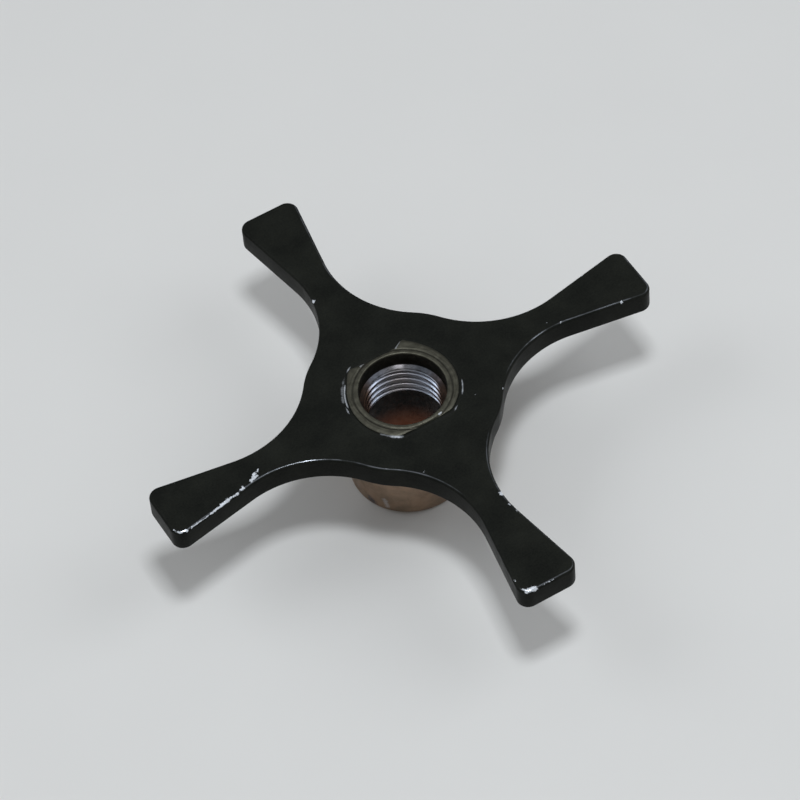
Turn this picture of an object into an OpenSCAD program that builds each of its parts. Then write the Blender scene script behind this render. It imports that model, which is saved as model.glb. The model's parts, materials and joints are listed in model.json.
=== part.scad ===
// Four-armed hand nut: a flat steel star plate staked onto a threaded hub.
// All sizes are in millimetres. The origin is the centre of the hub's lower
// end, +Z runs up the thread axis, and the arms lie along X and Y.

/* [Star plate] */
// Tip to tip across two opposite arms
arm_span = 82.5; // [76:0.5:96]
// Thickness of the plate with its paint
plate_t = 4.1; // [3:0.1:6]
// Diameter of the round middle that the arms grow from
disc_d = 29.8; // [26:0.1:34]
// Radius of the hollow between two arms
gap_r = 16; // [14:0.1:18]
// Width of an arm at its narrowest place
neck_w = 4.9; // [4:0.1:7]
// Angle at which each side of an arm flares out towards the tip
flare_deg = 10; // [4:0.5:14]
// Radius that rounds the two corners of a tip
tip_corner_r = 1.8; // [0.5:0.1:2.4]

/* [Hub] */
// Outer diameter of the hub below the plate
hub_d = 18.3; // [18:0.1:22]
// Height from the hub's lower end to the plate's upper face
hub_h = 18.8; // [14:0.1:26]
// Chamfer round the hub's lower outer edge
hub_chamfer = 0.5; // [0.1:0.1:1]
// Diameter of the spigot that passes through the plate
spigot_d = 16.2; // [15.6:0.1:17]
// Distance across the spigot's two flats
spigot_flats = 14.4; // [13.8:0.1:15]
// How far the staked rim spreads over the plate
stake_w = 0.35; // [0.1:0.05:0.6]
// Height of the staked rim above the plate
stake_h = 0.3; // [0.1:0.05:0.8]

/* [Thread] */
// Minor diameter of the internal thread, 1/2-20 UNF
thread_minor_d = 11.5; // [11:0.1:12]
// Length of the threaded part of the bore
thread_len = 5.2; // [4:0.1:6]
// Diameter of the counterbore at the upper mouth
mouth_d = 13.2; // [12.6:0.1:13.4]
// Depth of the counterbore's straight wall
mouth_depth = 2.6; // [1.5:0.1:3.2]
// Length of the cone that leads from the counterbore to the thread
lead_in_h = 0.5; // [0.2:0.1:1]
// Diameter of the plain bore below the thread
relief_d = 14; // [13:0.1:14.6]

/* [Hidden] */
arm_count = 4;
arm_reach = arm_span / 2;
disc_r = disc_d / 2;
plate_bottom = hub_h - plate_t;
hub_top = hub_h + stake_h;
spigot_r = spigot_d / 2;
flat_y = spigot_flats / 2;
// the hollow's arc touches the disc and passes half a neck from the arm's axis
gap_y = neck_w / 2 + gap_r;
gap_x = sqrt(pow(disc_r + gap_r, 2) - pow(gap_y, 2));
gap_deg = atan2(gap_y, gap_x);
// where the arc turns into the straight flare, and the tip's rounded corner
flare_meet = [gap_x + gap_r * sin(flare_deg), gap_y - gap_r * cos(flare_deg)];
tip_y = flare_meet.y + (arm_reach - flare_meet.x) * tan(flare_deg);
corner = [arm_reach - tip_corner_r,
          tip_y - tip_corner_r * (tan(flare_deg) + 1 / cos(flare_deg))];
// straight steps in each rounded stretch of the outline
corner_steps = 8;
gap_steps = 16;
disc_steps = 4;
// levels of the bore, measured from its upper mouth
thread_top = hub_top - mouth_depth - lead_in_h;
thread_bottom = thread_top - thread_len;
// extra reach of a cutting solid past the face that it cuts
clear = 1;
round_fn = 96;

function arc(centre, r, from, to, steps) =
    [for (i = [0:steps])
        let (a = from + (to - from) * i / steps) centre + r * [cos(a), sin(a)]];

// one side of the +X arm, from its tip in to the disc
arm_side = concat(arc(corner, tip_corner_r, 0, 90 + flare_deg, corner_steps),
                  arc([gap_x, gap_y], gap_r, flare_deg - 90, gap_deg - 180, gap_steps));
// the disc shows between two arms as a slight hump
hump_step = (90 - 2 * gap_deg) / disc_steps;
hump = arc([0, 0], disc_r, gap_deg + hump_step, 90 - gap_deg - hump_step, disc_steps - 2);
// the +Y arm's near side is the same curve mirrored in the line y = x
quarter = concat(arm_side, hump,
                 [for (i = [len(arm_side) - 1:-1:0]) [arm_side[i].y, arm_side[i].x]]);

function turned(points, a) =
    [for (p = points) [p.x * cos(a) - p.y * sin(a), p.x * sin(a) + p.y * cos(a)]];

module star_outline() {
    polygon([for (i = [0:arm_count - 1]) each turned(quarter, i * 360 / arm_count)]);
}

// a circle with two flats parallel to X, which keeps the hub from turning
module double_d(grow = 0) {
    intersection() {
        circle(r = spigot_r + grow, $fn = round_fn);
        square([2 * (spigot_r + grow), 2 * (flat_y + grow)], center = true);
    }
}

module star_plate() {
    color([0.13, 0.13, 0.14])
        translate([0, 0, plate_bottom])
            linear_extrude(plate_t)
                difference() {
                    star_outline();
                    double_d();
                }
}

// the turned barrel, with its lower edge chamfered
module hub_barrel() {
    r = hub_d / 2;
    rotate_extrude($fn = round_fn)
        polygon([[0, 0], [r - hub_chamfer, 0], [r, hub_chamfer],
                 [r, plate_bottom], [0, plate_bottom]]);
}

// counterbore, lead-in cone, thread at its minor diameter, and plain bore
module hub_bore() {
    rotate_extrude($fn = round_fn)
        polygon([[0, -clear],
                 [relief_d / 2, -clear],
                 [relief_d / 2, thread_bottom],
                 [thread_minor_d / 2, thread_bottom],
                 [thread_minor_d / 2, thread_top],
                 [mouth_d / 2, thread_top + lead_in_h],
                 [mouth_d / 2, hub_top + clear],
                 [0, hub_top + clear]]);
}

module threaded_hub() {
    color([0.46, 0.42, 0.37])
        difference() {
            union() {
                hub_barrel();
                translate([0, 0, plate_bottom])
                    linear_extrude(plate_t) double_d();
                translate([0, 0, hub_h])
                    linear_extrude(stake_h) double_d(stake_w);
            }
            hub_bore();
        }
}

star_plate();
threaded_hub();
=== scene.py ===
import json
import math

import bmesh
import bpy
import numpy as np
from mathutils import Matrix, Vector


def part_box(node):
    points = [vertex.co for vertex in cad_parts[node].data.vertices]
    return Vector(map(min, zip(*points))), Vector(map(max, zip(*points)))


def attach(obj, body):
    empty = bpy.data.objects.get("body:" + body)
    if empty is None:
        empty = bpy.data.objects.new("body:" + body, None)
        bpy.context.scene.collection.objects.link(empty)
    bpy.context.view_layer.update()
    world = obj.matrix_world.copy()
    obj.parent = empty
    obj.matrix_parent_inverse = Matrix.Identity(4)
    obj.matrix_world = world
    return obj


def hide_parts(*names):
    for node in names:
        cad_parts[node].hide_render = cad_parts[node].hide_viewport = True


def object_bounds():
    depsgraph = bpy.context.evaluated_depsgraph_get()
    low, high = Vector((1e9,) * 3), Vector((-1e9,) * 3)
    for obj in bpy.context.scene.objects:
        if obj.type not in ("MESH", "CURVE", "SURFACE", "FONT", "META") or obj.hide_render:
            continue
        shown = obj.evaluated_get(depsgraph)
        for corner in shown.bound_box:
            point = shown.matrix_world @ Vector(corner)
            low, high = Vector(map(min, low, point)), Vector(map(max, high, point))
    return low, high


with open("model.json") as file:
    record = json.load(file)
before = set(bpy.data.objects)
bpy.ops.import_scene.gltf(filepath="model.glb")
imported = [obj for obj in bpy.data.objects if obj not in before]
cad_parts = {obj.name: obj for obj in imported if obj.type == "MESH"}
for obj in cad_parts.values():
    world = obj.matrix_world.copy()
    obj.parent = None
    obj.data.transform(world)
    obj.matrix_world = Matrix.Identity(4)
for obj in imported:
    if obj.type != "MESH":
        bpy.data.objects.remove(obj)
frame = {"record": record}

mm = 0.001
weldGap = 0.002 * mm       # points closer than this become one point
sliver = 0.001 * mm        # edges shorter than this are taken out
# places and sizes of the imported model, in metres
cadBox = [[float(v) for v in corner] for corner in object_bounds()]
plateLow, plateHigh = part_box("star_plate")
hubLow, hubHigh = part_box("threaded_hub")
mounts = {m["name"]: m for m in frame["record"]["mounts"]}
threadRadius = mounts["thread"]["dims"]["r_mm"] * mm
threadLength = mounts["thread"]["dims"]["length_mm"] * mm
threadMiddle = mounts["thread"]["pos_m"][2]
reliefRadius = mounts["relief_bore"]["dims"]["r_mm"] * mm
mouthRadius = mounts["mouth_counterbore"]["dims"]["r_mm"] * mm
armReach = plateHigh.x
plateTop = plateHigh.z


def smoothStep(x, low, high):
    # a ramp from 0 at low to 1 at high, level at both ends: three t squared less two t cubed
    t = np.clip((x - low) / (high - low), 0, 1)
    return t * t * (3 - 2 * t)


def roundDrop(x):
    # how far a quarter circle of radius 1 has fallen: 0 where it starts level, 1 where it ends upright
    return 1 - np.sqrt(1 - np.clip(x, 0, 1) ** 2)


def ripple(angle, seed, waves=5):
    # an irregular ripple that closes after one turn, about -1 to 1:
    # a sum of sines of whole cycles, with seeded sizes and phases
    rng = np.random.default_rng(seed)
    cycles = np.arange(2, waves + 2)
    sizes = rng.uniform(0.4, 1, waves) / np.sqrt(cycles - 1)
    phases = rng.uniform(0, 2 * math.pi, waves)
    return (sizes * np.sin(np.multiply.outer(angle, cycles) + phases)).sum(-1) / sizes.sum()


def stretch(angle, start, end, fade=5):
    # 1 between two bearings in degrees, falling to 0 over the fade, which is centred on each of them
    away = np.abs((np.degrees(angle) - (start + end) / 2 + 180) % 360 - 180)
    return 1 - smoothStep(away, (end - start - fade) / 2, (end - start + fade) / 2)


def doubleD(angle, circle, flat):
    # a circle cut by two flats parallel to X, their corners eased: a soft minimum of the two radii
    sharp = 5 / mm
    farthest = 12 * mm      # past the circle, so that the flats' radius stays finite along X
    cut = np.minimum(flat / np.maximum(np.abs(np.sin(angle)), 1e-3), farthest)
    return -np.log(np.exp(-sharp * (circle - flat)) + np.exp(-sharp * (cut - flat))) / sharp + flat


def gridFaces(rows, cols, start=0):
    # quads between neighbouring rows of a closed grid whose points are stored row by row
    i, j = np.meshgrid(np.arange(rows - 1), np.arange(cols), indexing="ij")
    a = i * cols + j
    b = i * cols + (j + 1) % cols
    return np.stack([a, b, b + cols, a + cols], -1).reshape(-1, 4) + start


def buildPiece(name, points, faces, attributes):
    # one closed mesh with its finish marks as point attributes: doubled seams are welded, normals face out
    mesh = bpy.data.meshes.new(name)
    mesh.from_pydata(points.tolist(), [], faces.tolist())
    for key, values in attributes.items():
        layer = mesh.attributes.new(key, "FLOAT", "POINT")
        layer.data.foreach_set("value", values.ravel().astype(np.float32))
    work = bmesh.new()
    work.from_mesh(mesh)
    bmesh.ops.remove_doubles(work, verts=work.verts, dist=weldGap)
    bmesh.ops.dissolve_degenerate(work, edges=work.edges, dist=sliver)
    bmesh.ops.recalc_face_normals(work, faces=work.faces)
    loose = sum(1 for e in work.edges if len(e.link_faces) != 2)
    print(f"  {name}: {len(work.verts)} points, {len(work.faces)} faces, {loose} open edges")
    work.to_mesh(mesh)
    work.free()
    mesh.polygons.foreach_set("use_smooth", np.ones(len(mesh.polygons), bool))
    piece = bpy.data.objects.new(name, mesh)
    bpy.context.scene.collection.objects.link(piece)
    return piece


hub = {
    "radius": hubHigh.x,
    "chamfer": 0.5 * mm,
    "edgeEase": 0.12 * mm,
    "spigotRadius": 8.1 * mm,
    "spigotFlat": 7.2 * mm,
    # the staked rim's radius in mm at a few bearings; it spreads widest just past one end of a flat
    "rimBearings": (-180, -156, -122, -90, -52, -20, 8, 38, 58, 66, 90, 110, 122, 132, 141, 161, 180),
    "rimRadii": (8.40, 8.60, 8.75, 8.50, 8.30, 8.40, 8.55, 8.80, 9.25, 9.10,
                 9.00, 9.00, 9.00, 8.70, 8.45, 8.30, 8.40),
    "rimFlat": 7.30 * mm,
    "rimUneven": 0.04 * mm,
    # where the staked metal bulges out past a flat's end: bearing and spread in degrees, height in mm
    "ears": ((60, 5, 0.85), (121, 5, 0.35)),
    "rimRound": 0.62 * mm,
    "lipRound": 0.26 * mm,
    "groove": 7.44 * mm,
    "grooveWidth": 0.17 * mm,
    "grooveDepth": 0.12 * mm,
    "grooveDrift": 0.05 * mm,
    "landWidth": 0.4 * mm,     # from the groove out to where the outer land has its full unevenness
    "landUneven": 0.03 * mm,
    "leadIn": 0.5 * mm,
    "leadOut": 0.4 * mm,
    "pitch": 25.4 / 20 * mm,
    "threadDepth": 0.58 * mm,
    "crestShare": 0.42,        # of each pitch, the flat left on the crest
    "rootShare": 0.10,
    "threadStart": 0.46,       # where the first groove opens, in turns
    # stretches of the bore that set where highlight and shade are painted: two bearings and the fade at
    # each of them, in degrees
    "lightCone": (20, 112, 24),
    "coneGlint": (60, 72, 8),
    "brightThread": (-2, 121, 22),
    "softerThread": (45, 90, 40),
    "columns": 288,
    "threadRows": 134,
    "rimRows": 60,
}


def rimEdge(angle):
    # the double D of the rim, plus a bell at each ear and a small ripple
    bearing = np.degrees(angle + math.pi) % 360 - 180
    edge = doubleD(angle, np.interp(bearing, hub["rimBearings"], hub["rimRadii"]) * mm, hub["rimFlat"])
    for at, wide, tall in hub["ears"]:
        edge = edge + tall * mm * np.exp(-((bearing - at) / wide) ** 2)
    return edge + hub["rimUneven"] * ripple(angle, 7, 14)


def threadFall(turns):
    # one pitch of thread: 0 on the flat crest, 1 in the narrow root, with nearly straight flanks between,
    # seven parts straight ramp to three parts smooth ramp
    away = np.abs(turns % 1 - 0.5) * 2
    high, low = 1 - hub["crestShare"], hub["rootShare"]
    slope = np.clip((high - away) / (high - low), 0, 1)
    return 0.7 * slope + 0.3 * smoothStep(slope, 0, 1)


def makeHub():
    # a turned profile: each row has a radius and a height, and goes round Z at
    # x = radius times cos angle, y = radius times sin angle
    h = hub
    angle = np.arange(h["columns"]) * 2 * math.pi / h["columns"]
    bands = []

    def addBand(radius, height, cleanAndSheen=0.0, rustAndReflection=0.0, olive=0.0, paintedShade=0.0):
        # rows of the profile, each with its radius, height and four marks from 0 to 1 for the finish, in
        # turn: bright thread, partly a painted highlight; reddish brown, partly rust and partly a painted
        # reflection; the rim's dull olive steel; black painted shade
        values = [np.asarray(v, float) for v in (radius, height, cleanAndSheen, rustAndReflection, olive, paintedShade)]
        values = [v[:, None] if v.ndim == 1 and v.size != len(angle) else v for v in values]
        shape = np.broadcast_shapes((1, len(angle)), *[v.shape for v in values])
        bands.append(np.stack([np.broadcast_to(v, shape) for v in values]))

    low, shoulder, rimTop = hubLow.z, plateLow.z, hubHigh.z
    out, cut, ease = h["radius"], h["chamfer"], h["edgeEase"]
    # lower end, chamfer and barrel up to the plate
    addBand([reliefRadius + 2 * ease, out - cut, out - cut + ease, out - 0.4 * ease, out],
            [low, low, low + 0.5 * ease, low + cut - 0.3 * ease, low + cut + ease])
    addBand(out, np.linspace(low + cut + 4 * ease, shoulder, 14))
    # spigot through the plate
    addBand(doubleD(angle, h["spigotRadius"], h["spigotFlat"]), np.array([shoulder, plateTop]))
    # the rim's face, from its foot on the plate in to the mouth: a rounded edge, the outer land,
    # a groove with a bell for its section, the inner land, and a rounded lip
    edge = rimEdge(angle)
    rise = rimTop - plateTop
    radius = edge + (mouthRadius - edge) * np.linspace(0, 1, h["rimRows"])[:, None]
    grooveAt = h["groove"] + h["grooveDrift"] * ripple(angle, 21, 9)
    groove = np.exp(-((radius - grooveAt) / h["grooveWidth"]) ** 2)
    outerLand = smoothStep(radius, grooveAt, grooveAt + h["landWidth"])
    uneven = h["landUneven"] * outerLand * (1 + ripple(angle, 23, 12))
    fall = roundDrop((radius - edge) / h["rimRound"] + 1)
    lip = roundDrop((mouthRadius - radius) / h["lipRound"] + 1)
    height = plateTop + rise * (1 - 0.8 * fall) - h["grooveDepth"] * groove
    height = height - uneven * (1 - fall) - h["lipRound"] * lip
    # painted shade darkens the groove and the rounded edge where the rim meets the plate
    addBand(radius, np.maximum(height, plateTop), olive=1.0,
            paintedShade=np.maximum(0.55 * groove, 0.8 * fall * (outerLand > 0.5)))
    # counterbore wall, half darkened with painted shade
    coneLow = threadMiddle + threadLength / 2
    coneTop = coneLow + h["leadIn"]
    wall = np.linspace(rimTop - h["lipRound"] - 0.05 * mm, coneTop + 0.05 * mm, 8)
    addBand(mouthRadius, wall, olive=1.0, paintedShade=0.5)
    # thread: the minor radius plus the groove's depth, which winds up with the angle by one pitch a turn;
    # a cone opens it out at each end, and the widest of the three counts
    threadLow = threadMiddle - threadLength / 2
    z = np.linspace(coneTop, threadLow, h["threadRows"])[:, None]
    deep = threadFall(z / h["pitch"] - angle / (2 * math.pi) + h["threadStart"])
    thread = threadRadius + h["threadDepth"] * deep
    leadIn = threadRadius + (mouthRadius - threadRadius) * (z - coneLow) / h["leadIn"]
    leadOut = threadRadius + h["leadOut"] - (z - threadLow)
    onCone = smoothStep(leadIn - thread, 0, 0.15 * mm)
    # painted shade on the cone all round, most of all at its foot and least at its back, where a painted
    # glint is left;
    # painted shade also in the thread's roots at the back
    coneFoot = 1 - smoothStep(z - coneLow, 0.25 * h["leadIn"], 0.7 * h["leadIn"])
    backOfCone = stretch(angle, *h["lightCone"])
    coneShade = 0.95 - 0.08 * backOfCone - 0.47 * stretch(angle, *h["coneGlint"])
    shading = onCone * np.maximum(coneShade, coneFoot)
    shading = np.maximum(shading, 0.5 * backOfCone * smoothStep(deep, 0.55, 1))
    # a painted highlight on the thread round its back, dimmer in the middle, and painted shade towards the
    # front
    backOfThread = stretch(angle, *h["brightThread"])
    shading = np.maximum(shading, 0.84 * (1 - backOfThread))
    threadSheen = backOfThread * (1 - 0.55 * stretch(angle, *h["softerThread"]))
    # reddish brown towards the front, partly rust and partly a painted reflection of a brown table
    reddened = 0.6 * np.maximum(onCone * (1 - backOfCone), 1 - backOfThread)
    addBand(np.maximum(thread, np.maximum(leadIn, leadOut)), z, cleanAndSheen=threadSheen, rustAndReflection=reddened, paintedShade=shading)
    # plain bore below the thread: painted shade under the thread's step, clearing downwards to the reddish
    # brown, which is partly rust and partly a painted reflection of a brown table
    addBand([reliefRadius - ease], [threadLow], rustAndReflection=1.0, paintedShade=1.0)
    depth = np.linspace(threadLow - ease, low + 2 * ease, 16)
    addBand(reliefRadius, depth, rustAndReflection=1.0, paintedShade=smoothStep(depth, 0.05 * threadLow, 0.62 * threadLow))
    addBand([reliefRadius + 2 * ease], [low], rustAndReflection=0.5)
    radii, heights, cleanAndSheen, rustAndReflection, olive, paintedShade = np.concatenate(bands, axis=1)
    points = np.stack([radii * np.cos(angle), radii * np.sin(angle), heights], -1).reshape(-1, 3)
    marks = {"cleanAndSheen": cleanAndSheen, "rustAndReflection": rustAndReflection, "olive": olive, "paintedShade": paintedShade}
    return buildPiece("threadedHub", points, gridFaces(*radii.shape), marks)


plate = {
    "discRadius": 14.9 * mm,
    "hollowRadius": 16.0 * mm,
    "neckWidth": 4.9 * mm,
    "flareDegrees": 10,
    "tipCorner": 1.8 * mm,
    "topRound": 0.50 * mm,
    "lowRound": 0.50 * mm,
    "roundDrift": 0.14,          # how much the rounding varies along the edge, as a share of it
    "wearAt": 66,                # how far above level the rounding faces where it is rubbed most
    "wearSpread": 7,             # both in degrees
    # two bearings and the fade at each, in degrees: the edges that face between the first pair are rubbed,
    # except those that lie between the second pair as seen from the middle
    "wornSides": (-160, 5, 22),
    "spared": (-66, -19, 8),
    "holeGap": 0.03 * mm,
    "collarRadius": 11.0 * mm,
    "ridgeReach": 9.75 * mm,
    "axisSplit": 16.5 * mm,      # beyond this, lines across the face end on the arm's axis
    "tipPole": 4.5 * mm,
    "topSteps": 16,
    "lowSteps": 7,
    "faceSteps": 9,
    "collarSteps": 48,
    # the low swell just outside the rim: its distance from the rim, width and height in mm
    "swell": (0.32, 0.22, 0.09),
    # ridges pushed up round the rim by the staking: bearings of both ends in degrees,
    # radius, width and height in mm, and how much of the paint has gone from them, which also paints bright
    # glints on them
    "ridges": [
        (141, 170, 8.64, 0.14, 0.20, 1.00),
        (132, 166, 8.98, 0.36, 0.16, 0.42),
        (168, 176, 8.93, 0.14, 0.18, 0.85),
        (216, 239, 8.72, 0.25, 0.20, 0.62),
        (226, 239, 8.70, 0.30, 0.26, 1.00),
        (-39, -21, 8.88, 0.13, 0.16, 0.80),
        (119, 126, 9.05, 0.15, 0.16, 0.85),
        (-60, -53, 8.72, 0.13, 0.14, 0.70),
    ],
}


def arcPoints(centre, radius, fromDeg, toDeg, count):
    # an arc: the centre plus the radius along cos and sin of evenly spaced angles, and those directions
    a = np.radians(np.linspace(fromDeg, toDeg, count))
    direction = np.stack([np.cos(a), np.sin(a)], -1)
    return np.asarray(centre) + radius * direction, direction


def halfArm():
    # outline from the middle of the +X tip round to the 45 degree line: end, corner, flare, hollow, disc
    p = plate
    flare = math.radians(p["flareDegrees"])
    gapY = p["neckWidth"] / 2 + p["hollowRadius"]
    gapX = math.sqrt((p["discRadius"] + p["hollowRadius"]) ** 2 - gapY ** 2)
    gapDeg = math.degrees(math.atan2(gapY, gapX))
    meet = np.array([gapX, gapY]) + p["hollowRadius"] * np.array([math.sin(flare), -math.cos(flare)])
    tipY = meet[1] + (armReach - meet[0]) * math.tan(flare)
    r = p["tipCorner"]
    corner = np.array([armReach - r, tipY - r * (math.tan(flare) + 1 / math.cos(flare))])
    endY = np.linspace(0, corner[1], 10)[:-1]
    end = np.stack([np.full_like(endY, armReach), endY], -1)
    cornerPoints, cornerNormals = arcPoints(corner, r, 0, 90 + p["flareDegrees"], 16)
    t = np.linspace(0, 1, 30)[1:-1, None]
    flarePoints = cornerPoints[-1] * (1 - t) + meet * t
    flareNormals = np.tile([-math.sin(flare), math.cos(flare)], (len(t), 1))
    hollow, towards = arcPoints([gapX, gapY], p["hollowRadius"], p["flareDegrees"] - 90, gapDeg - 180, 64)
    disc, discNormals = arcPoints([0, 0], p["discRadius"], gapDeg, 45, 9)
    points = np.concatenate([end, cornerPoints, flarePoints, hollow, disc[1:]])
    endNormals = np.tile([1.0, 0.0], (len(end), 1))
    return points, np.concatenate([endNormals, cornerNormals, flareNormals, -towards, discNormals[1:]])


def spine(points):
    # where each outline point's line across the face ends: on the arm's axis, or on the collar's circle,
    # spaced along the axis by the point's x, and round the circle by its distance along the outline
    collar = plate["collarRadius"]
    x = points[:, 0]
    onAxis = x > plate["axisSplit"]
    last = x[onAxis].min()
    reach = collar + (x - last) * (armReach - plate["tipPole"] - collar) / (armReach - last)
    along = np.concatenate([[0], np.cumsum(np.linalg.norm(np.diff(points, axis=0), axis=1))])
    first = along[onAxis].max()
    angle = np.where(onAxis, 0, (along - first) / (along[-1] - first)) * math.pi / 4
    reach = np.where(onAxis, reach, collar)
    return reach[:, None] * np.stack([np.cos(angle), np.sin(angle)], -1)


def allRound(half):
    # the half arm, its mirror in the line y = x, and the pair turned four times
    turns = [np.concatenate([half[:-1], half[::-1, ::-1][:-1]])]
    for _ in range(3):
        turns.append(np.stack([-turns[-1][:, 1], turns[-1][:, 0]], -1))
    return np.concatenate(turns)


def ridgeField(radius, angle):
    # a low swell just outside the rim, then each ridge: a bell across its width, uneven along its length
    outward, swellWidth, swellHeight = plate["swell"]
    swell = np.exp(-((radius - rimEdge(angle) - outward * mm) / (swellWidth * mm)) ** 2)
    height = swellHeight * mm * swell * (1 + 0.6 * ripple(angle, 31, 9))
    bareAndGlint = np.zeros_like(radius)
    # each ridge's bare share is partly lost paint and partly a painted glint
    for seed, (start, end, at, width, tall, wearAndGlint) in enumerate(plate["ridges"]):
        drift = 0.05 * mm * ripple(angle, 40 + seed, 12)
        bell = np.exp(-((radius - at * mm - drift) / (width * mm)) ** 2) * stretch(angle, start, end, 9)
        bell = bell * (0.78 + 0.22 * ripple(angle, 60 + seed, 40))
        height = np.maximum(height, bell * tall * mm)
        bareAndGlint = np.maximum(bareAndGlint, bell * wearAndGlint)
    return height, bareAndGlint


def makePlate():
    # rows that follow the outline: straight lines carry them from the spine out over the upper face,
    # down the side and back in underneath
    half, halfNormals = halfArm()
    outline, normals, inner = allRound(half), allRound(halfNormals), allRound(spine(half))
    around = np.linspace(0, 2 * math.pi, len(outline), endpoint=False)
    drift = 1 + plate["roundDrift"] * ripple(around, 11, 24)
    # the side: a quarter circle down from the upper face, a straight wall, and a quarter circle under
    upper = np.radians(np.linspace(90, 0, plate["topSteps"]))
    lower = np.radians(np.linspace(0, -90, plate["lowSteps"]))
    top, low = plate["topRound"] * drift, plate["lowRound"] * drift
    inset = np.concatenate([np.multiply.outer(1 - np.cos(upper), top),
                            np.multiply.outer(1 - np.cos(lower), low)])
    sideZ = np.concatenate([plateTop - np.multiply.outer(1 - np.sin(upper), top),
                            plateLow.z + np.multiply.outer(1 + np.sin(lower), low)])
    t = np.linspace(0, 1, plate["faceSteps"])[:-1, None, None]
    topFace = inner + (outline - normals * top[:, None] - inner) * t
    lowFace = inner + (outline - normals * low[:, None] - inner) * t[::-1]
    xy = np.concatenate([topFace, outline - normals * inset[:, :, None], lowFace])
    flat = np.ones((len(t), len(outline)))
    z = np.concatenate([plateTop * flat, sideZ, plateLow.z * flat])
    # wear is a bell across the rounding, on the sides that are rubbed
    wearAndGlint = np.exp(-((np.degrees(upper) - plate["wearAt"]) / plate["wearSpread"]) ** 2)
    facing = np.arctan2(normals[:, 1], normals[:, 0])
    spared = stretch(np.arctan2(outline[:, 1], outline[:, 0]), *plate["spared"])
    share = stretch(facing, *plate["wornSides"]) * (1 - spared)
    corner = np.concatenate([wearAndGlint, 0 * lower])[:, None] * share
    edge = np.concatenate([0 * flat, corner, 0 * flat])
    facePoints = np.concatenate([xy, z[:, :, None]], -1).reshape(-1, 3)
    # the collar is a polar grid: in from its circle to the hole, down the hole's wall and out underneath
    collar = inner[np.hypot(inner[:, 0], inner[:, 1]) < plate["collarRadius"] + 0.0001 * mm]
    angle = np.unique(np.round(np.arctan2(collar[:, 1], collar[:, 0]) % (2 * math.pi), 7))
    hole = doubleD(angle, hub["spigotRadius"], hub["spigotFlat"]) + plate["holeGap"]
    reach = plate["ridgeReach"]
    outside = np.linspace(plate["collarRadius"], reach, 5)[:-1, None] * np.ones_like(angle)
    inside = reach + (hole - reach) * np.linspace(0, 1, plate["collarSteps"])[:, None]
    radius = np.concatenate([outside, inside])
    ridge, bareAndGlint = ridgeField(radius, angle)
    under = np.linspace(0, 1, 6)[:, None] * (plate["collarRadius"] - hole) + hole
    allRadius = np.concatenate([radius, under])
    allZ = np.concatenate([plateTop + ridge, np.full_like(under, plateLow.z)])
    collarPoints = np.stack([allRadius * np.cos(angle), allRadius * np.sin(angle), allZ], -1).reshape(-1, 3)
    bareAndGlintAll = np.concatenate([np.zeros(len(facePoints)), bareAndGlint.ravel(), np.zeros(under.size)])
    edgeAll = np.concatenate([edge.ravel(), np.zeros(allRadius.size)])
    points = np.concatenate([facePoints, collarPoints])
    faces = np.concatenate([gridFaces(*z.shape), gridFaces(*allRadius.shape, len(facePoints))])
    return buildPiece("starPlate", points, faces, {"edge": edgeAll, "bareAndGlint": bareAndGlintAll})


def addNode(tree, kind, links=None, **settings):
    # links gives each input either another node's output or a plain value
    made = tree.nodes.new(kind)
    for name, value in settings.items():
        setattr(made, name, value)
    for socket, source in (links or {}).items():
        if isinstance(source, bpy.types.NodeSocket):
            tree.links.new(source, made.inputs[socket])
        else:
            made.inputs[socket].default_value = source
    return made


def newMaterial(name):
    material = bpy.data.materials.new(name)
    material.use_nodes = True
    tree = material.node_tree
    tree.nodes.clear()
    shader = addNode(tree, "ShaderNodeBsdfPrincipled")
    addNode(tree, "ShaderNodeOutputMaterial", {"Surface": shader.outputs[0]})
    where = addNode(tree, "ShaderNodeTexCoord").outputs["Object"]
    return material, tree, shader, where


def mark(tree, name):
    return addNode(tree, "ShaderNodeAttribute", attribute_name=name).outputs["Fac"]


def noise(tree, where, size, detail=3.0, rough=0.5, output="Fac"):
    links = {"Vector": where, "Scale": 1 / size, "Detail": detail, "Roughness": rough}
    return addNode(tree, "ShaderNodeTexNoise", links).outputs[output]


def spread(tree, value, low, high, toLow=0.0, toHigh=1.0):
    links = {"Value": value, "From Min": low, "From Max": high, "To Min": toLow, "To Max": toHigh}
    return addNode(tree, "ShaderNodeMapRange", links).outputs["Result"]


def calc(tree, operation, a, b, clamp=False):
    return addNode(tree, "ShaderNodeMath", {0: a, 1: b}, operation=operation, use_clamp=clamp).outputs[0]


def vector(tree, operation, a, b, output="Vector"):
    second = "Scale" if operation == "SCALE" else 1
    return addNode(tree, "ShaderNodeVectorMath", {0: a, second: b}, operation=operation).outputs[output]


def mixColour(tree, share, first, second):
    made = addNode(tree, "ShaderNodeMix", data_type="RGBA")
    for index, source in ((0, share), (6, first), (7, second)):
        if isinstance(source, bpy.types.NodeSocket):
            tree.links.new(source, made.inputs[index])
        else:
            made.inputs[index].default_value = source if index == 0 else (*source, 1)
    return made.outputs[2]


def bumpLayers(tree, layers):
    # each layer is a height, its depth in metres and whether it is sunk instead of raised
    normal = None
    for height, depth, sunk in layers:
        links = {"Height": height, "Distance": depth, "Strength": 1.0}
        if normal:
            links["Normal"] = normal
        normal = addNode(tree, "ShaderNodeBump", links, invert=sunk).outputs[0]
    return normal


def join(tree, shader, **sockets):
    for name, source in sockets.items():
        socket = "Base Color" if name == "baseColour" else name.title()
        tree.links.new(source, shader.inputs[socket])


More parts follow.
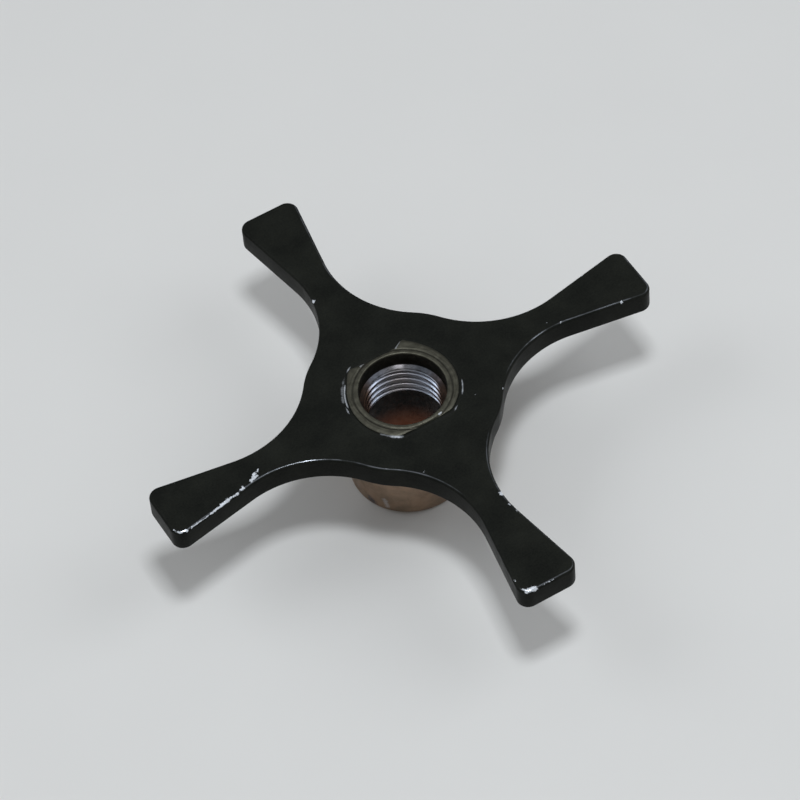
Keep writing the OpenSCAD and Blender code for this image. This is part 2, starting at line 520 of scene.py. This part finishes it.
def markMask(tree, where, marks, tear, soft=0.15):
    # every mark is a capsule between two places, in mm: the distance from the line between them over its
    # radius. Noise bends and frays it, and the nearest mark counts.
    coarse = vector(tree, "SUBTRACT", noise(tree, where, 0.7 * mm, 5, 0.75, "Color"), (0.5, 0.5, 0.5))
    moved = vector(tree, "ADD", where, vector(tree, "SCALE", coarse, tear))
    nearest = None
    for start, end, radius in marks:
        first = Vector(start) * mm
        run = Vector(end) * mm - first
        offset = vector(tree, "SUBTRACT", moved, first)
        share = vector(tree, "DOT_PRODUCT", offset, run / run.length_squared, "Value")
        along = vector(tree, "SCALE", run, calc(tree, "ADD", share, 0.0, clamp=True))
        away = calc(tree, "MULTIPLY", vector(tree, "DISTANCE", offset, along, "Value"), 1 / (radius * mm))
        nearest = away if nearest is None else calc(tree, "MINIMUM", nearest, away)
    fray = spread(tree, noise(tree, where, 0.4 * mm, 6, 0.7), 0.25, 0.75, -0.7, 0.7)
    return spread(tree, calc(tree, "ADD", nearest, fray), 1 + soft, 1 - soft)


paint = {
    "black": (0.0078, 0.0084, 0.0074),
    "faded": (0.0170, 0.0180, 0.0148),
    "burnished": (0.240, 0.252, 0.275),   # where rubbing has polished the paint along its edges
    "steel": (0.80, 0.83, 0.88),
    "roughness": (0.32, 0.44),
    "edgeRoughness": 0.20,
    "gloss": 0.03,                        # specular level
    # sizes of the patterns
    "mottle": 6 * mm,
    "grain": 0.28 * mm,
    "rubbedPatches": 4 * mm,
    "smears": 2.2 * mm,
    "scratches": 0.3 * mm,
    # size and depth
    "peel": (0.5 * mm, 0.012 * mm),
    "dents": (4 * mm, 0.04 * mm),
    "chipDepth": 0.06 * mm,
    "chipLevel": 0.12,                    # how far below the upper face the chips' centres lie, in mm
    "tear": 0.6 * mm,                     # how far the noise bends a chip's outline
    # chips down to the steel, and two thin painted highlights drawn as bare steel along the top edge, the
    # first line and the thin one at -41 mm: where each starts and ends on the upper face, and its radius,
    # all in mm
    "chipsAndGlints": [
        (-38.6, -4.43, -35.0, -3.92, 0.10),
        (-35.0, -3.90, -32.9, -3.40, 0.15),
        (-32.9, -3.36, -31.6, -3.06, 0.24),
        (-31.4, -3.05, -29.8, -2.86, 0.15),
        (-29.05, -2.58, -28.7, -2.35, 0.24),
        (-27.1, -2.02, -26.1, -1.75, 0.26),
        (-26.6, -1.62, -26.0, -1.15, 0.28),
        (-25.5, -1.05, -25.2, -0.80, 0.19),
        (-40.9, -3.40, -40.4, -4.22, 0.12),
        (-40.3, -4.26, -39.3, -4.50, 0.18),
        (-4.15, -40.20, -3.80, -40.60, 0.15),
        (-3.80, -40.70, -2.55, -40.92, 0.35),
        (-2.20, -41.00, 0.60, -41.03, 0.05),
        (2.18, -24.2, 2.19, -24.0, 0.30),
        (2.05, -26.4, 2.10, -26.6, 0.15),
        (2.42, -27.9, 2.45, -28.1, 0.13),
        (-4.28, -38.2, -4.27, -38.3, 0.13),
        (-2.55, 21.9, -2.60, 22.0, 0.28),
        (35.85, -3.90, 36.05, -3.95, 0.17),
        (26.35, -2.18, 26.5, -2.20, 0.11),
        (24.5, -1.15, 24.6, -1.20, 0.09),
        (33.7, 3.70, 33.8, 3.70, 0.12),
        (12.50, -8.12, 12.62, -7.86, 0.12),
        (8.50, -6.65, 8.60, -6.65, 0.12),
        (-5.25, -14.6, -5.00, -14.6, 0.13),
        (-0.80, -31.9, -0.50, -33.0, 0.05),
    ],
}


def makePaint():
    material, tree, shader, where = newMaterial("satinBlackPaint")
    # colour: black to faded by a broad mottle and a fine grain, and burnished along the rubbed edges
    mottle = spread(tree, noise(tree, where, paint["mottle"], 5, 0.6), 0.38, 0.68)
    grain = spread(tree, noise(tree, where, paint["grain"], 2), 0.3, 0.7, 0.0, 0.5)
    shade = calc(tree, "ADD", calc(tree, "MULTIPLY", mottle, 0.6), grain)
    base = mixColour(tree, shade, paint["black"], paint["faded"])
    edge = mark(tree, "edge")
    patch = noise(tree, where, paint["rubbedPatches"], 4, 0.6)
    polishAndGlint = calc(tree, "MULTIPLY", edge, spread(tree, patch, 0.40, 0.62, 0.12, 1.0))
    base = mixColour(tree, polishAndGlint, base, paint["burnished"])
    # bare steel: the chips, two of them painted highlights, and flakes off the ridges round the rim, partly
    # painted glints
    level = plateTop / mm - paint["chipLevel"]
    marks = [((x0, y0, level), (x1, y1, level), r) for x0, y0, x1, y1, r in paint["chipsAndGlints"]]
    chipsAndGlints = markMask(tree, where, marks, paint["tear"])
    torn = calc(tree, "MULTIPLY", noise(tree, where, 0.6 * mm, 3), 0.45)
    # the flakes off the ridges are partly bare steel and partly painted glints
    flakesAndGlints = spread(tree, calc(tree, "ADD", mark(tree, "bareAndGlint"), torn), 0.45, 1.25)
    bareAndGlint = calc(tree, "MAXIMUM", chipsAndGlints, flakesAndGlints)
    dulled = [c * 0.75 for c in paint["steel"]]
    scratches = spread(tree, noise(tree, where, paint["scratches"], 3), 0.35, 0.6)
    scraped = mixColour(tree, scratches, dulled, paint["steel"])
    # finish: satin with smears, smoother where rubbed, over a fine peel and shallow dents
    low, high = paint["roughness"]
    smear = spread(tree, noise(tree, where, paint["smears"], 5, 0.6), 0.3, 0.7, low, high)
    rubbed = spread(tree, edge, 0.1, 0.6)
    satin = addNode(tree, "ShaderNodeMix", {0: rubbed, 2: smear, 3: paint["edgeRoughness"]})
    (peelSize, peelDepth), (dentSize, dentDepth) = paint["peel"], paint["dents"]
    peel = noise(tree, where, peelSize, 3)
    dents = noise(tree, where, dentSize, 2)
    layers = [(peel, peelDepth, False), (dents, dentDepth, False), (bareAndGlint, paint["chipDepth"], True)]
    normal = bumpLayers(tree, layers)
    shader.inputs["Specular IOR Level"].default_value = paint["gloss"]
    metal = calc(tree, "MAXIMUM", calc(tree, "MULTIPLY", chipsAndGlints, 0.25), calc(tree, "MULTIPLY", flakesAndGlints, 0.8))
    join(tree, shader, baseColour=mixColour(tree, bareAndGlint, base, scraped), normal=normal,
         metallic=calc(tree, "MAXIMUM", metal, polishAndGlint), roughness=satin.outputs[0])
    return material


steel = {
    # warm steels of the barrel, partly their own aged tone and partly a painted reflection of a brown table
    "agedAndReflected": (0.385, 0.270, 0.190),
    "dull": (0.270, 0.200, 0.145),
    "rim": (0.125, 0.120, 0.092),
    "rimDark": (0.060, 0.058, 0.044),
    # bright bluish steel of the thread, which also stands for a painted highlight
    "thread": (0.54, 0.59, 0.70),
    # reddish brown, partly rust and partly a painted reflection of a brown table
    "brown": (0.190, 0.062, 0.028),
    # black for painted shade in the bore and round the rim
    "paintedShade": (0.008, 0.007, 0.006),
    "reflectedDark": (0.055, 0.062, 0.085),
    "metallic": 0.9,
    "roughness": (0.40, 0.56),
    "threadSmoother": 0.16,      # how much less rough the bright thread is
    # sizes of the patterns
    "patches": 2.5 * mm,
    "turningMarks": 0.35 * mm,
    "turningWander": 0.8 * mm,
    "specks": 0.9 * mm,
    # size of the mottle in the painted shade
    "shadeMottle": 0.8 * mm,
    # size and depth
    "rings": (0.09 * mm, 0.004 * mm),
    "pits": (0.45 * mm, 0.03 * mm),
    # a painted glint and a painted dark reflection low on the barrel: bearing in degrees and height in mm
    # of both ends, and radius in mm
    "streakGlint": (-144.8, 2.75, -142.4, 1.35, 0.30),
    "spot": (-160.5, 1.35, -157.5, 1.00, 0.55),
    # polished places where the rim's corners end at the two flats, which also stand for painted glints:
    # start, end and radius, in mm
    "corners": [
        (4.15, 7.85, 3.05, 7.12, 0.11),
        (-2.55, 7.30, -3.05, 7.15, 0.15),
        (2.05, -6.98, 2.50, -6.88, 0.09),
    ],
}


def onBarrel(bearing, height):
    # a place on the barrel's wall, in mm
    turn = math.radians(bearing)
    return (hub["radius"] / mm * math.cos(turn), hub["radius"] / mm * math.sin(turn), height)


def makeSteel():
    material, tree, shader, where = newMaterial("turnedSteel")
    cleanAndSheen = mark(tree, "cleanAndSheen")
    # barrel: two dull steels in patches, partly a painted reflection of a brown table, with a painted dark
    # reflection and a painted glint
    patch = noise(tree, where, steel["patches"], 5, 0.6)
    agedAndReflected = mixColour(tree, spread(tree, patch, 0.38, 0.62), steel["agedAndReflected"], steel["dull"])
    spot, streakGlint = [markMask(tree, where, [(onBarrel(*m[:2]), onBarrel(*m[2:4]), m[4])], 0.35 * mm, 0.7)
                  for m in (steel["spot"], steel["streakGlint"])]
    # the painted dark reflection
    agedAndReflected = mixColour(tree, calc(tree, "MULTIPLY", spot, 0.8), agedAndReflected, steel["reflectedDark"])
    # the painted glint, in bright steel
    agedAndReflected = mixColour(tree, calc(tree, "MULTIPLY", streakGlint, 0.38), agedAndReflected, paint["steel"])
    # rim: turning marks, which are noise over the distance from the axis that wanders slowly with the place
    flattened = vector(tree, "MULTIPLY", where, (1.0, 1.0, 0.0))
    reach = vector(tree, "LENGTH", flattened, (0.0, 0.0, 0.0), "Value")
    slow = calc(tree, "MULTIPLY", noise(tree, where, 4 * mm, 2), steel["turningWander"])
    turned = addNode(tree, "ShaderNodeCombineXYZ", {"X": calc(tree, "ADD", reach, slow)}).outputs[0]
    turning = noise(tree, turned, steel["turningMarks"], 3)
    streaks = calc(tree, "ADD", turning, noise(tree, where, steel["specks"], 4))
    rim = mixColour(tree, spread(tree, streaks, 0.75, 1.25), steel["rim"], steel["rimDark"])
    colour = mixColour(tree, mark(tree, "olive"), agedAndReflected, rim)
    # bore: the bright thread, partly a painted highlight, then the brown, partly rust and partly a painted
    # reflection of a brown table, then painted shade over both
    colour = mixColour(tree, cleanAndSheen, colour, steel["thread"])
    browned = calc(tree, "MULTIPLY", mark(tree, "rustAndReflection"), spread(tree, patch, 0.3, 0.6, 0.9, 1))
    colour = mixColour(tree, browned, colour, steel["brown"])
    shadeMottle = spread(tree, noise(tree, where, steel["shadeMottle"], 4), 0.3, 0.6, 0.9, 1)
    colour = mixColour(tree, calc(tree, "MULTIPLY", mark(tree, "paintedShade"), shadeMottle), colour, steel["paintedShade"])
    # polished corners of the rim, partly painted glints, laid out flat so that its rounding doesn't hide
    # them
    marks = [((x0, y0, 0), (x1, y1, 0), r) for x0, y0, x1, y1, r in steel["corners"]]
    corners = markMask(tree, flattened, marks, 0.25 * mm, 0.4)
    polishAndGlint = calc(tree, "MULTIPLY", corners, mark(tree, "olive"))
    colour = mixColour(tree, calc(tree, "MULTIPLY", polishAndGlint, 0.5), colour, paint["steel"])
    # finish: small pits, and fine lathe rings, which are noise drawn out twenty times across Z
    lathe = addNode(tree, "ShaderNodeMapping", {"Vector": where, "Scale": (0.05, 0.05, 1.0)}).outputs[0]
    (ringSize, ringDepth), (pitSize, pitDepth) = steel["rings"], steel["pits"]
    rings = noise(tree, lathe, ringSize, 2)
    pits = noise(tree, where, pitSize, 4, 0.6)
    rough = spread(tree, noise(tree, where, 1.2 * mm, 4), 0.3, 0.7, *steel["roughness"])
    rough = calc(tree, "SUBTRACT", rough, calc(tree, "MULTIPLY", cleanAndSheen, steel["threadSmoother"]))
    shader.inputs["Metallic"].default_value = steel["metallic"]
    join(tree, shader, baseColour=colour, roughness=rough,
         normal=bumpLayers(tree, [(rings, ringDepth, False), (pits, pitDepth, False)]))
    return material


studio = {
    "floorSize": 3.0,
    "floorRoughness": 0.6,
    "floorMottle": 30 * mm,
    "floorColour": (0.76, 0.745, 0.72),
    "worldColour": (0.96, 0.98, 1.0),
    "worldStrength": 0.26,
    # bearing from +X and height in degrees, distance and size in metres, power in watts
    "lights": {
        "windowRight": (-20, 44, 0.70, 0.46, 1.1),
        "windowBack": (140, 42, 0.70, 0.40, 1.0),
        "overhead": (-95, 82, 0.70, 0.13, 2.2),
    },
    "lightColour": (0.90, 0.95, 1.0),
}
view = {
    "azimuth": 26.68,      # degrees that the camera stands towards -X from straight in front
    "elevation": 52.54,
    "roll": 5.53,
    "distance": 15.204,    # in arm lengths
    "aimRight": -0.0098,   # how far the aim point lies from the plate's centre, in arm lengths
    "aimUp": -0.0366,
    "lens": 190.6,
    "sensor": 36,
    "clipStart": 0.01,
}


def makeStudio():
    half, low = studio["floorSize"] / 2, cadBox[0][2]
    corners = [(-half, -half, low), (half, -half, low), (half, half, low), (-half, half, low)]
    mesh = bpy.data.meshes.new("floor")
    mesh.from_pydata(corners, [], [(0, 1, 2, 3)])
    floor = bpy.data.objects.new("floor", mesh)
    bpy.context.scene.collection.objects.link(floor)
    material, tree, shader, where = newMaterial("paleFloor")
    pale = studio["floorColour"]
    shade = mixColour(tree, noise(tree, where, studio["floorMottle"]), pale, [c * 0.96 for c in pale])
    tree.links.new(shade, shader.inputs["Base Color"])
    shader.inputs["Roughness"].default_value = studio["floorRoughness"]
    mesh.materials.append(material)
    world = bpy.data.worlds.new("studio")
    bpy.context.scene.world = world
    world.use_nodes = True
    background = world.node_tree.nodes["Background"]
    background.inputs["Color"].default_value = (*studio["worldColour"], 1)
    background.inputs["Strength"].default_value = studio["worldStrength"]
    target = Vector((0, 0, plateTop))
    for name, (turn, height, away, size, power) in studio["lights"].items():
        turn, height = math.radians(turn), math.radians(height)
        lamp = bpy.data.lights.new(name, "AREA")
        lamp.size = size
        lamp.energy = power
        lamp.color = studio["lightColour"]
        made = bpy.data.objects.new(name, lamp)
        level = Vector((math.cos(turn), math.sin(turn), 0))
        made.location = target + away * (level * math.cos(height) + Vector((0, 0, math.sin(height))))
        made.rotation_euler = (target - made.location).to_track_quat("-Z", "Y").to_euler()
        bpy.context.scene.collection.objects.link(made)


def makeCamera():
    # the camera stands on a line from the plate's centre, rolled about it, and turns to the aim point
    turn, lift, roll = (math.radians(view[k]) for k in ("azimuth", "elevation", "roll"))
    centre = Vector((0, 0, plateTop))
    towards = Vector((-math.sin(turn) * math.cos(lift), -math.cos(turn) * math.cos(lift), math.sin(lift)))
    right = Vector((math.cos(turn), -math.sin(turn), 0))
    up = towards.cross(right)
    tiltedRight = right * math.cos(roll) - up * math.sin(roll)
    tiltedUp = right * math.sin(roll) + up * math.cos(roll)
    place = centre + towards * view["distance"] * armReach
    aim = centre + (tiltedRight * view["aimRight"] + tiltedUp * view["aimUp"]) * armReach
    back = (place - aim).normalized()
    side = tiltedUp.cross(back).normalized()
    camera = bpy.data.objects.new("camera", bpy.data.cameras.new("camera"))
    camera.data.lens = view["lens"]
    camera.data.sensor_width = view["sensor"]
    camera.data.clip_start = view["clipStart"]
    axes = Matrix((side, back.cross(side), back)).transposed()
    camera.matrix_world = Matrix.Translation(place) @ axes.to_4x4()
    bpy.context.scene.collection.objects.link(camera)
    bpy.context.scene.camera = camera


print("camera, floor and lights")
makeCamera()
makeStudio()
bpy.context.scene.view_settings.view_transform = "Standard"

print("star plate")
starPlate = makePlate()
starPlate.data.materials.append(makePaint())
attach(starPlate, "root")
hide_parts("star_plate")

print("threaded hub")
threadedHub = makeHub()
threadedHub.data.materials.append(makeSteel())
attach(threadedHub, "root")
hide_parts("threaded_hub")
